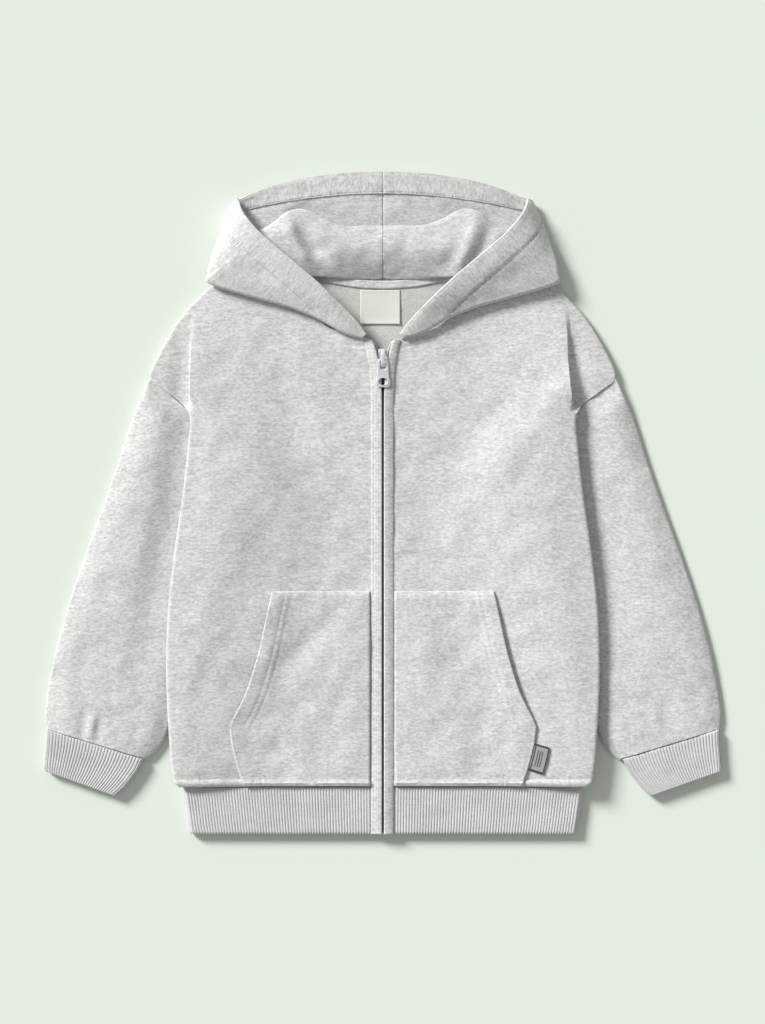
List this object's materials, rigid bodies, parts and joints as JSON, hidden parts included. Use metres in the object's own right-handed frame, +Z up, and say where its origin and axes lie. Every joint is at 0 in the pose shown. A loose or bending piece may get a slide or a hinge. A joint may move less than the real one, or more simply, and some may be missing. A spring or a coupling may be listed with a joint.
{
  "type": "toddler hoodie",
  "caption": "Zip-front toddler hoodie lying flat and face up, with a two-piece hood, front pockets, ribbed cuffs and a ribbed hem band.",
  "frame": {"origin": "on the surface the garment lies on, under the middle of its width and length", "axes": "+Z up from the surface, +Y towards the hood, +X towards the viewer's right, which is the wearer's left"},
  "size_m": [0.554, 0.5412, 0.0194],
  "materials": {
    "fleece": "light grey marl brushed fleece, matt",
    "rib": "light grey marl rib knit, matt",
    "neck_tape": "light grey marl jersey strip",
    "zip_tape": "light grey woven tape",
    "label": "off-white woven label, left bare",
    "tag": "grey woven tag, left bare but for a plain border",
    "zip_teeth": "grey nylon coil",
    "metal": "satin nickel"
  },
  "bodies": {
    "garment": {"back": "fleece", "neck_tape": "neck_tape", "neck_label": "label", "hem_band_back": "rib", "front_right": "fleece", "placket_right": "fleece", "pocket_right": "fleece", "sleeve_right": "fleece", "cuff_right": "rib", "hem_band_front_right": "rib", "hood_right": "fleece", "hood_hem_right": "fleece", "zip_tape_right": "zip_tape", "front_left": "fleece", "placket_left": "fleece", "pocket_left": "fleece", "sleeve_left": "fleece", "cuff_left": "rib", "hem_band_front_left": "rib", "hood_left": "fleece", "hood_hem_left": "fleece", "zip_tape_left": "zip_tape", "pocket_tag": "tag", "zip_chain": "zip_teeth", "zip_slider": "metal"},
    "pull_tab": {"zip_pull": "metal"}
  },
  "joints": [
    {"name": "pull_tab_hinge", "type": "hinge", "parent": "garment", "child": "pull_tab", "pos_m": [0, 0.117, 0.0112], "axis": [-1, 0, 0], "range_deg": [0, 150]}
  ]
}
